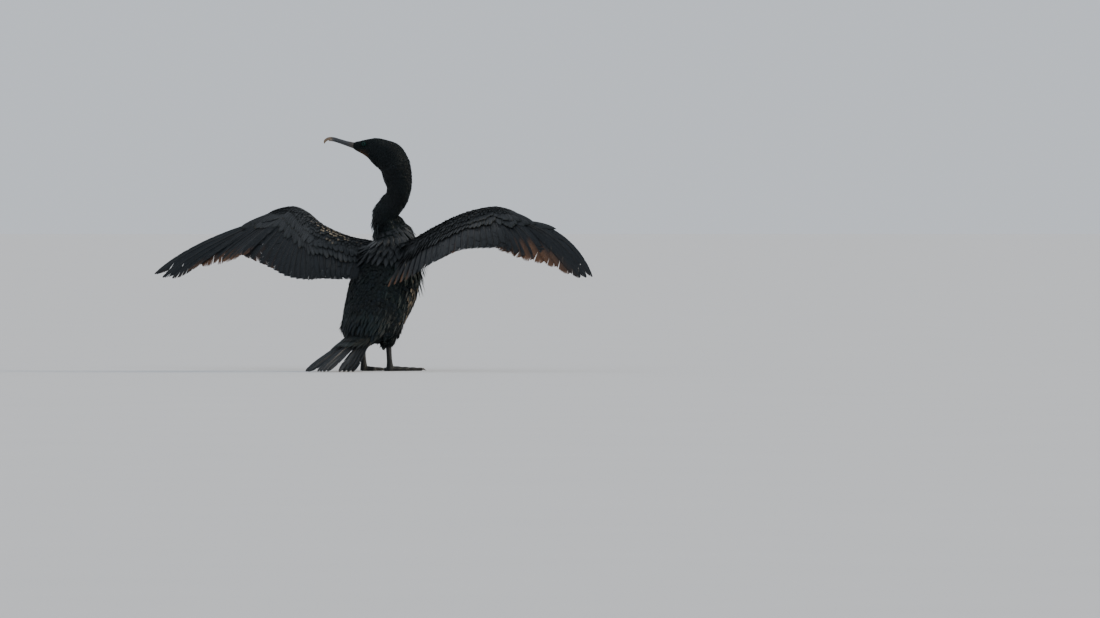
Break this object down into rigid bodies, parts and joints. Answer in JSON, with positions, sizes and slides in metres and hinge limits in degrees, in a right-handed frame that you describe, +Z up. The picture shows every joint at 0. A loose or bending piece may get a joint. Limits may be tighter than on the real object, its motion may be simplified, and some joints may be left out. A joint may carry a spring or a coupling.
{
  "type": "cormorant",
  "caption": "Life-size standing cormorant, upright body on webbed feet and tail tips, wings held open to dry, slim neck and hooked bill turned over its left shoulder.",
  "frame": {"origin": "on the floor under the middle of the bird's bounding box", "axes": "+Z up, the bird's breast faces -Y and its left wing points along +X"},
  "size_m": [0.9434, 0.3024, 0.4334],
  "materials": {
    "plumage": "close black body feathers with a faint green-blue gloss",
    "flight_feathers": "dark grey-brown vanes, black shafts and edges, worn brown trailing edges",
    "foot_skin": "scaly black skin of legs, toes and webs",
    "bill": "grey horn, paler at the hook",
    "eye": "wet green iris with a black pupil"
  },
  "bodies": {
    "root": {"torso": "plumage", "neck_lower": "plumage", "neck_upper": "plumage", "head": "plumage", "bill_upper": "bill", "bill_lower": "bill", "eye_left": "eye", "eye_right": "eye", "wing_left_arm": "flight_feathers", "wing_left_hand": "flight_feathers", "wing_right_arm": "flight_feathers", "wing_right_hand": "flight_feathers", "thigh_left": "plumage", "thigh_right": "plumage", "shank_left": "foot_skin", "shank_right": "foot_skin", "foot_left": "foot_skin", "foot_right": "foot_skin", "tail": "flight_feathers"}
  },
  "joints": []
}
